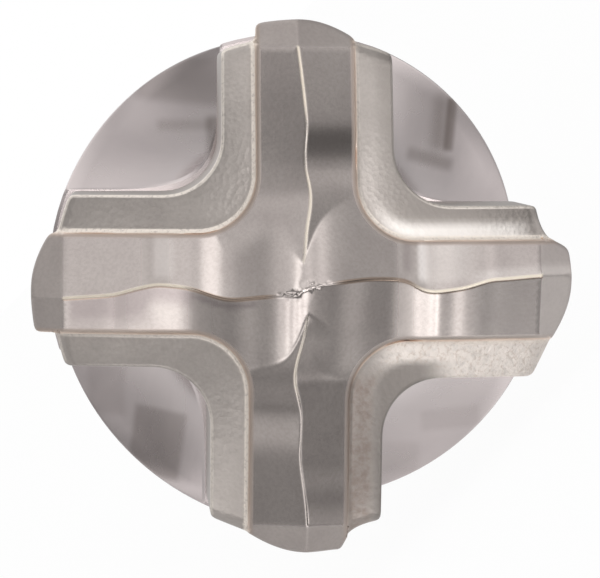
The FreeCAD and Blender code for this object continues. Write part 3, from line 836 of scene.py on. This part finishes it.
# Studio: a white floor and a plain soft room. Metal shows the soft lights around it, so they are placed for
# it, and the floor lets its reflections through. The camera looks almost along the bit's axis.
bpy.ops.object.select_all(action="DESELECT")
bpy.ops.mesh.primitive_plane_add(size=3.0, location=(0, 0, -(BODY_RADIUS + 0.02) * MM))
floor = bpy.context.object
floor.name = "floor"
white, nodes, links, shader = material("floor_white", 0.0)
shader.inputs["Roughness"].default_value = 0.9
shader.inputs["Base Color"].default_value = (0.9, 0.9, 0.9, 1)
shader.inputs["Specular IOR Level"].default_value = 0.0
rays = nodes.new("ShaderNodeLightPath")
glow = nodes.new("ShaderNodeEmission")
paler = nodes.new("ShaderNodeMixShader")
through = nodes.new("ShaderNodeBsdfTransparent")
mirrored = nodes.new("ShaderNodeMixShader")
links.new(scaled(nodes, links, rays.outputs["Is Camera Ray"], 0.96), paler.inputs["Fac"])
links.new(shader.outputs["BSDF"], paler.inputs[1])
links.new(glow.outputs["Emission"], paler.inputs[2])
links.new(rays.outputs["Is Glossy Ray"], mirrored.inputs["Fac"])
links.new(paler.outputs["Shader"], mirrored.inputs[1])
links.new(through.outputs["BSDF"], mirrored.inputs[2])
links.new(mirrored.outputs["Shader"], nodes["Material Output"].inputs["Surface"])
floor.data.materials.append(white)

# Each soft light: degrees round the camera's view from the right, degrees off the bit's axis, spread and
# strength. Most were fitted by a program together with the flanks' heights, and a few were set one by one.
ROOM_LEVEL = 0.1
SOFT_LIGHTS = [
    (74, 20, 0.13, 4.33), (-66, 149, 0.46, 0.94), (22, 17, 0.12, 3.28), (104, 109, 0.34, 1.05),
    (-102, 40, 0.1, 3.29), (14, 46, 0.1, 3.19), (144, 146, 0.3, 1.02), (13, 108, 0.23, 1.33),
    (178, 40, 0.2, 1.52), (-92, 72, 0.1, 2.95), (38, 60, 0.14, 1.97), (97, 57, 0.2, 1.27),
    (-109, 74, 0.1, 2.0), (-78, 71, 0.08, 2.92), (-66, 73, 0.07, 3.06), (157, 80, 0.08, 2.66),
    (62, 72, 0.22, 0.94), (4, 2, 0.1, 2), (-55, 37, 0.1, 2), (-40, 70, 0.07, 2.81),
    (-37, 100, 0.17, 1.11), (-21, 58, 0.11, 1.69), (-154, 118, 0.24, 0.76), (-165, 73, 0.2, 0.91),
    (-59, 84, 0.07, 2.35), (36, 92, 0.1, 1.57), (-36, 45, 0.08, 1.93), (126, 78, 0.21, 0.67),
    (120, 68, 0.07, 1.9), (-22, 45, 0.22, 0.6), (-127, 73, 0.07, 1.82), (-111, 108, 0.23, 0.55),
    (64, 53, 0.19, 0.66), (-124, 61, 0.16, 1.4), (-81, 110, 0.12, 0.95), (-176, 105, 0.07, 1.56),
    (157, 98, 0.12, 0.67), (52, 129, 0.25, 0.25), (141, 74, 0.11, 0.52), (65, 110, 0.09, 0.57),
    (149, 41, 0.12, 0.36), (-137, 90, 0.1, 0.34),
]
room = bpy.data.worlds.new("room")
bpy.context.scene.world = room
room.use_nodes = True
nodes, links = room.node_tree.nodes, room.node_tree.links
background = nodes["Background"]
rays = nodes.new("ShaderNodeLightPath")
seen = computed(nodes, links, "MAXIMUM", rays.outputs["Is Camera Ray"], rays.outputs["Is Transmission Ray"])
direction = nodes.new("ShaderNodeTexCoord").outputs["Generated"]
level = ROOM_LEVEL
for turned_by, off_axis, spread, strength in SOFT_LIGHTS:
    turned_by, off_axis = math.radians(turned_by), math.radians(off_axis)
    aim = laid_down([(math.cos(turned_by) * math.sin(off_axis), math.sin(turned_by) * math.sin(off_axis),
                      math.cos(off_axis))])[0] / MM
    near = computed(nodes, links, "DOT_PRODUCT", direction, aim, kind="VectorMath")
    falloff = computed(nodes, links, "MULTIPLY_ADD", near, spread ** -2, -spread ** -2)
    glow = computed(nodes, links, "EXPONENT", falloff)
    level = computed(nodes, links, "MULTIPLY_ADD", glow, strength, level)
grey = nodes.new("ShaderNodeCombineColor")
for socket in ("Red", "Green", "Blue"):
    links.new(level, grey.inputs[socket])
links.new(mixed(nodes, links, seen, grey.outputs["Color"], (1, 1, 1, 1)), background.inputs["Color"])
background.inputs["Strength"].default_value = 1.0

# Camera: its distance and sideways lean, a pixel's size at the tip, and how far behind the point it aims
CAMERA_DISTANCE, SIDEWAYS, PIXEL, RIM_DEPTH = 180.0, 0.04, 0.0294, 3.0
WIDTH, HEIGHT, CENTRE = 600, 578, (302.5, 287.0)
target = Vector(((REACH - RIM_DEPTH) * MM, 0, 0))
towards = Vector((1, 0, SIDEWAYS)).normalized()
photo_up = Vector((0, 1, 1)).normalized()
right = photo_up.cross(towards).normalized()
up = towards.cross(right)
lens = bpy.data.cameras.new("camera")
lens.sensor_width = 36
lens.lens = 36 * CAMERA_DISTANCE / (WIDTH * PIXEL)
lens.clip_start = 0.01
lens.shift_x = (WIDTH / 2 - CENTRE[0]) / WIDTH
lens.shift_y = (CENTRE[1] - HEIGHT / 2) / WIDTH
camera = bpy.data.objects.new("camera", lens)
turn = Matrix((right, up, towards)).transposed().to_4x4()
camera.matrix_world = Matrix.Translation(target + towards * CAMERA_DISTANCE * MM) @ turn
bpy.context.collection.objects.link(camera)
bpy.context.scene.camera = camera
bpy.context.scene.view_settings.view_transform = "Standard"
